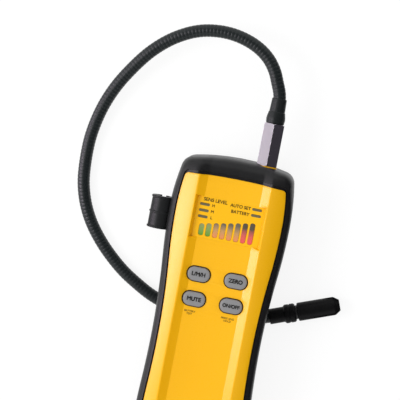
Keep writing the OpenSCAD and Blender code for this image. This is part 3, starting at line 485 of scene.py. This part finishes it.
def smooth_line(points):
    """Points of a smooth line through the given ones, as the CAD source draws it."""
    line = []
    for i in range(len(points) - 1):
        a = points[max(0, i - 1)]
        b = points[i]
        c = points[i + 1]
        d = points[min(len(points) - 1, i + 2)]
        for j in range(ROUTE_STEPS):
            t = j / ROUTE_STEPS
            line.append(0.5 * (2 * b + (c - a) * t + (2 * a - 5 * b + 4 * c - d) * t * t
                               + (3 * b - a - 3 * c + d) * t * t * t))
    return line + [points[-1]]


def trimmed(line, start, spare):
    """The line without its first and last stretch, and its length."""
    reach = [0.0]
    for a, b in zip(line, line[1:]):
        reach.append(reach[-1] + (b - a).length)

    def at(distance):
        """Point of the line at a distance along it."""
        i = max(k for k in range(len(line) - 1) if reach[k] <= distance)
        return line[i].lerp(line[i + 1], (distance - reach[i]) / (reach[i + 1] - reach[i]))

    end = reach[-1] - spare
    inner = [p for p, s in zip(line, reach) if start + ROUTE_NEAR < s < end - ROUTE_NEAR]
    return [at(start)] + inner + [at(end)], end - start


neck_line, neck_length = trimmed(smooth_line(NECK_POINTS), NECK_START, NECK_SPARE)
route = bpy.data.curves.new("neck_route", "CURVE")
route.dimensions = "3D"
spline = route.splines.new("POLY")
spline.points.add(len(neck_line) - 1)
for point, p in zip(spline.points, neck_line):
    point.co = (p.x * MM, (p.y + FOOT_MID) * MM, p.z * MM, 1.0)
route_object = bpy.data.objects.new("neck_route", route)
bpy.context.scene.collection.objects.link(route_object)

ridge_count = round(neck_length / RIDGE_PITCH)
ridge_step = neck_length * MM / ridge_count
bpy.ops.object.select_all(action="DESELECT")
bpy.ops.mesh.primitive_circle_add(vertices=NECK_SIDES, radius=NECK_GROOVE * MM, fill_type="NOTHING",
                                  rotation=(0, math.pi / 2, 0))
neck = bpy.context.object
bpy.ops.object.transform_apply(rotation=True)
bpy.ops.object.mode_set(mode="EDIT")
bpy.ops.mesh.select_all(action="SELECT")
last_radius = NECK_GROOVE
for share, radius in RIDGE_STEPS:
    bpy.ops.mesh.extrude_edges_move(TRANSFORM_OT_translate={"value": (share * ridge_step, 0, 0)})
    bpy.ops.transform.resize(value=(1, radius / last_radius, radius / last_radius))
    last_radius = radius
bpy.ops.object.mode_set(mode="OBJECT")
apply_modifier(neck, "ARRAY", count=ridge_count, use_relative_offset=False, use_constant_offset=True,
               constant_offset_displace=(ridge_step, 0, 0), use_merge_vertices=True,
               merge_threshold=NECK_MERGE * MM)
bpy.ops.object.mode_set(mode="EDIT")
bpy.ops.mesh.select_all(action="SELECT")
bpy.ops.mesh.fill_holes(sides=0)
bpy.ops.mesh.select_all(action="SELECT")
bpy.ops.mesh.normals_make_consistent(inside=False)
bpy.ops.object.mode_set(mode="OBJECT")
apply_modifier(neck, "CURVE", object=route_object, deform_axis="POS_X")
only(neck)
bpy.ops.object.shade_smooth_by_angle(angle=math.radians(NECK_CRISP))
bpy.data.objects.remove(route_object)
settle(neck, "gooseneck_finished", jacket_black, "case")
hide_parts("gooseneck")

# Printing

INK_THICK = 0.03
INK_MERGE = 0.001


def lettering(name, words, size, weight, x, y, z, body):
    """Printed words, a hair proud of the face they lie on.

    x, y and z are the middle, and weight is what the strokes grow by, as a share of the size.
    """
    bpy.ops.object.select_all(action="DESELECT")
    bpy.ops.object.text_add(location=(x * MM, (y + FOOT_MID) * MM, z * MM))
    obj = bpy.context.object
    obj.data.body = words
    obj.scale = (size * MM, size * MM, size * MM)
    obj.data.align_x = "CENTER"
    obj.data.align_y = "CENTER"
    obj.data.extrude = INK_THICK / size
    bpy.ops.object.convert(target="MESH")
    bpy.ops.object.transform_apply(location=True, rotation=True, scale=True)
    bpy.ops.object.mode_set(mode="EDIT")
    bpy.ops.mesh.select_all(action="SELECT")
    bpy.ops.mesh.remove_doubles(threshold=INK_MERGE * MM)
    bpy.ops.mesh.normals_make_consistent(inside=False)
    bpy.ops.transform.shrink_fatten(value=weight * size * MM)
    bpy.ops.object.mode_set(mode="OBJECT")
    settle(bpy.context.object, name, ink_and_shade_black, body)


KEY_TOP = 40.9
FACE_TOP = 39.2
PROUD = 0.02
KEYS = (("key_level", "level_button", "L/M/H", -12.3, 21.9),
        ("key_zero", "zero_button", "ZERO", 12.3, 21.9),
        ("key_mute", "mute_button", "MUTE", -12.3, 5.4),
        ("key_power", "power_button", "ON/OFF", 12.3, 5.4))
LEGEND_SIZE = 3.6
LONG_LEGEND_SIZE = 3.1
LONG_LEGEND = 6
LEGEND_WEIGHT = 0.062
for node, body, words, x, y in KEYS:
    size = LEGEND_SIZE if len(words) < LONG_LEGEND else LONG_LEGEND_SIZE
    lettering(node + "_legend", words, size, LEGEND_WEIGHT, x, y, KEY_TOP + PROUD, body)

MARKS = (("mark_sens", "SENS LEVEL", 3.1, -10.4, 70.9), ("mark_high", "H", 2.6, -11.2, 67.5),
         ("mark_middle", "M", 2.6, -11.2, 63.5), ("mark_low", "L", 2.6, -11.2, 59.5),
         ("mark_auto", "AUTO SET", 2.9, 6.2, 70.2), ("mark_battery", "BATTERY", 2.9, 6.6, 66.3))
MARK_WEIGHT = 0.03
for name, words, size, x, y in MARKS:
    lettering(name, words, size, MARK_WEIGHT, x, y, FACE_TOP + PROUD, "case")

CAPTIONS = (("caption_mute", "BATTERY\nTEST", -13.6, -3.9),
            ("caption_power", "PRESS AND\nHOLD", 11.6, -4.0))
CAPTION_SIZE = 1.75
CAPTION_WEIGHT = 0.015
for name, words, x, y in CAPTIONS:
    lettering(name, words, CAPTION_SIZE, CAPTION_WEIGHT, x, y, FACE_TOP + PROUD, "case")

# Painted shade: a flat dark ring round each key stands for the shadow in the gap about it

GAP_SHADE_SIZE = (16.1, 10.6)
GAP_SHADE_CORNER = 5.0
GAP_SHADE_STEPS = 8
GAP_SHADE_WIDTH = 0.6
GAP_SHADE_THICK = 0.06
for node, _, _, x, y in KEYS:
    bpy.ops.object.select_all(action="DESELECT")
    bpy.ops.mesh.primitive_plane_add(size=1.0, location=(x * MM, (y + FOOT_MID) * MM,
                                                         (FACE_TOP + PROUD) * MM))
    gap_shade = bpy.context.object
    gap_shade.scale = (GAP_SHADE_SIZE[0] * MM, GAP_SHADE_SIZE[1] * MM, 1.0)
    bpy.ops.object.transform_apply(location=False, rotation=False, scale=True)
    bpy.ops.object.mode_set(mode="EDIT")
    bpy.ops.mesh.select_all(action="SELECT")
    bpy.ops.mesh.bevel(affect="VERTICES", offset=GAP_SHADE_CORNER * MM, segments=GAP_SHADE_STEPS)
    bpy.ops.mesh.select_all(action="SELECT")
    bpy.ops.mesh.inset(thickness=GAP_SHADE_WIDTH * MM)
    bpy.ops.mesh.delete(type="FACE")
    bpy.ops.mesh.select_all(action="SELECT")
    bpy.ops.mesh.extrude_region_move(TRANSFORM_OT_translate={"value": (0, 0, GAP_SHADE_THICK * MM)})
    bpy.ops.mesh.select_all(action="SELECT")
    bpy.ops.mesh.normals_make_consistent(inside=False)
    bpy.ops.object.mode_set(mode="OBJECT")
    # The ring is painted shade, not a printed line
    settle(gap_shade, node + "_outline", ink_and_shade_black, "case")

# Stage: pale floor, white surround, cards that the glossy faces mirror, and soft light from the left

WHITE = (1.0, 1.0, 1.0, 1.0)
PAPER_ROUGH = 0.9
FLOOR_SIZE = 12.0
FLOOR_PLACE = (0, 0.1, -0.0003)
FLOOR_GLOW = 0.86
SURROUND_LIGHT = 0.92


def dull(name, colour):
    """New material with no mirror reflection, and its shader."""
    material, shader = blank(name)
    shader.inputs["Base Color"].default_value = srgb(colour)
    shader.inputs["Roughness"].default_value = PAPER_ROUGH
    shader.inputs["Specular IOR Level"].default_value = 0.0
    return material, shader


def seen_directly(tree):
    """Socket that is one for what the eye and mirroring faces see, and nought for the light cast."""
    rays = add(tree, "ShaderNodeLightPath", {})
    seen = add(tree, "ShaderNodeMath", {"operation": "MAXIMUM"},
               [(0, rays.outputs["Is Camera Ray"]), (1, rays.outputs["Is Glossy Ray"])])
    seen = add(tree, "ShaderNodeMath", {"operation": "MAXIMUM"},
               [(0, seen.outputs["Value"]), (1, rays.outputs["Is Transmission Ray"])])
    return seen.outputs["Value"]


bpy.ops.object.select_all(action="DESELECT")
bpy.ops.mesh.primitive_plane_add(size=FLOOR_SIZE, location=FLOOR_PLACE)
floor = bpy.context.object
floor.name = "floor"
# Seamless paper: looks white, shows the part's soft shadow, and throws little light back on it
paper, shader = dull("seamless_paper", "#707070")
glow = add(paper.node_tree, "ShaderNodeMath", {"operation": "MULTIPLY", 1: FLOOR_GLOW},
           [(0, seen_directly(paper.node_tree))])
shader.inputs["Emission Color"].default_value = WHITE
paper.node_tree.links.new(glow.outputs["Value"], shader.inputs["Emission Strength"])
floor.data.materials.append(paper)


def card(name, place, target, width, height, colour, glow, flag=False):
    """Card that only shows in reflections, facing a point; a flag also keeps light off."""
    bpy.ops.object.select_all(action="DESELECT")
    turn = (Vector(target) - Vector(place)).to_track_quat("Z", "Y").to_euler()
    bpy.ops.mesh.primitive_plane_add(size=1.0, location=place, rotation=turn)
    obj = bpy.context.object
    obj.name = name
    obj.scale = (width, height, 1.0)
    obj.visible_camera = False
    obj.visible_diffuse = flag
    obj.visible_shadow = flag
    material, shader = dull(name, colour)
    shader.inputs["Emission Color"].default_value = srgb(colour)
    shader.inputs["Emission Strength"].default_value = glow
    obj.data.materials.append(material)


# Dark cards give the right-hand slopes, the boot and the flat face their depth
card("right_black_card", (0.62, 0.2, 0.36), (0.0, 0.2, 0.36),
     width=1.1, height=0.7, colour="#504E54", glow=0.0, flag=True)
card("right_floor_card", (0.29, 0.1, 0.0002), (0.29, 0.1, 1.0),
     width=0.44, height=0.7, colour="#1A1A1C", glow=0.0)
card("overhead_black_card", (0.0, 0.15, 1.15), (0.0, 0.15, 0.0),
     width=2.1, height=2.1, colour="#1A1A1C", glow=0.0)
# Bright cards give the left-hand slopes their pale sheen, and the bar its grey left face
card("left_sheen_card", (-0.96, 0.1, 0.56), (0.0, 0.1, 0.03),
     width=0.46, height=0.4, colour="#FFECFF", glow=11.0)
card("low_sheen_card", (-1.08, 0.1, 0.22), (0.0, 0.1, 0.03),
     width=0.46, height=0.26, colour="#FFECFF", glow=7.0)
card("probe_grey_card", (-0.24, 0.2, 0.17), (0.0145, 0.2, 0.03),
     width=0.12, height=0.18, colour="#FFFFFF", glow=0.48)

world = bpy.data.worlds.new("studio")
world.use_nodes = True
bpy.context.scene.world = world
tree = world.node_tree
level = add(tree, "ShaderNodeMapRange", {"To Min": SURROUND_LIGHT, "To Max": 1.0},
            [("Value", seen_directly(tree))])
tree.links.new(level.outputs["Result"], tree.nodes["Background"].inputs["Strength"])
tree.nodes["Background"].inputs["Color"].default_value = WHITE


def lamp(name, place, target, width, height, watts):
    """Soft lamp aimed at a point."""
    data = bpy.data.lights.new(name, "AREA")
    data.shape = "RECTANGLE"
    data.size = width
    data.size_y = height
    data.energy = watts
    obj = bpy.data.objects.new(name, data)
    obj.location = place
    obj.rotation_euler = (Vector(target) - Vector(place)).to_track_quat("-Z", "Y").to_euler()
    bpy.context.scene.collection.objects.link(obj)


lamp("left_softbox", (-0.75, 0.1, 0.83), (0.0, 0.1, 0.03), width=0.46, height=0.4, watts=4.2)
